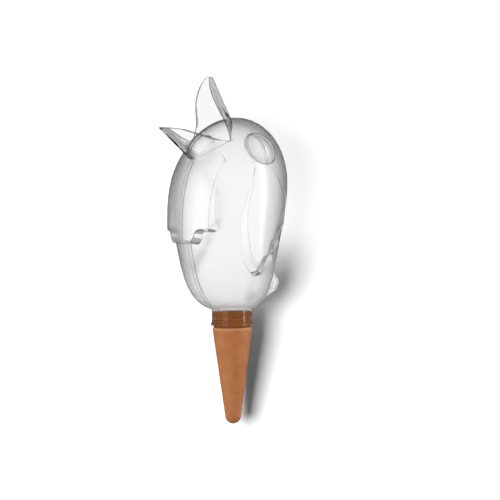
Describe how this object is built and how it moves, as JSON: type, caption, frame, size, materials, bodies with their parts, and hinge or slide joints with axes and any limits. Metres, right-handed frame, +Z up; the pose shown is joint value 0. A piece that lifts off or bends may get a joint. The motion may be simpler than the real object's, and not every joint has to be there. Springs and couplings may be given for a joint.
{
  "type": "watering globe",
  "caption": "Clear hollow bird with an open upturned beak on a tapered clay cone; filled through the beak, it waters a plant pot slowly through the porous cone.",
  "frame": {"origin": "middle of the clay cone's flat top, on the cone's axis, level with the soil", "axes": "+Z up along the cone's axis, the bird faces -Y, the bird's left side is +X"},
  "size_m": [0.0658, 0.0879, 0.2003],
  "materials": {
    "clear_plastic": "clear, glossy, slightly hazy",
    "amber_rubber": "smooth, soft, orange-brown",
    "fired_clay": "unglazed, matte, fine-grained"
  },
  "bodies": {
    "spike": {"clay_cone": "fired_clay"},
    "plug": {"seal_plug": "amber_rubber"},
    "reservoir": {"left_shell": "clear_plastic", "right_shell": "clear_plastic"}
  },
  "joints": [
    {"name": "reservoir_turn", "type": "hinge", "parent": "spike", "child": "plug", "pos_m": [0, 0, 0], "axis": [0, 0, 1], "continuous": true},
    {"name": "reservoir_lift", "type": "slide", "parent": "plug", "child": "reservoir", "axis": [0, 0, 1], "range_m": [0, 0.025]}
  ]
}
